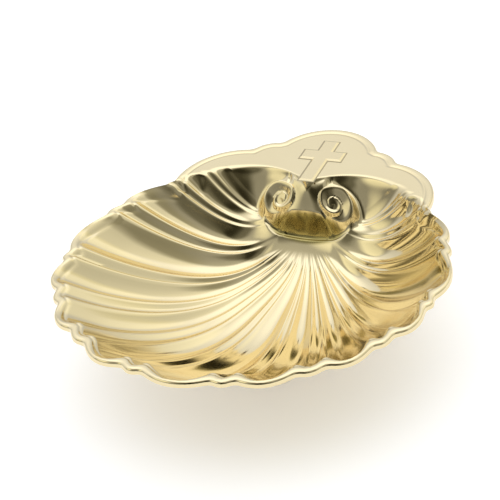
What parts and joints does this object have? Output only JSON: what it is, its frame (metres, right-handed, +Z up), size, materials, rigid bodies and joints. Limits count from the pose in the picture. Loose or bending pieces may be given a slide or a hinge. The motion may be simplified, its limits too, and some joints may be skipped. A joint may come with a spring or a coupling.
{
  "type": "baptismal shell",
  "caption": "Polished brass scallop shell dish for pouring water, with a fluted bowl, paired scrolls, a flat thumb tab bearing a plain cross, and ball feet.",
  "frame": {"origin": "middle of the overall box at the level of the feet's pads", "axes": "+Z up out of the bowl, +Y from the fluted front towards the thumb tab, X across"},
  "size_m": [0.145, 0.1576, 0.0412],
  "materials": {
    "shell_brass": "polished",
    "cross_brass": "polished",
    "foot_brass": "polished"
  },
  "bodies": {
    "root": {"shell_pressing": "shell_brass", "cross_plate": "cross_brass", "foot_front": "foot_brass", "foot_left": "foot_brass", "foot_right": "foot_brass"}
  },
  "joints": []
}
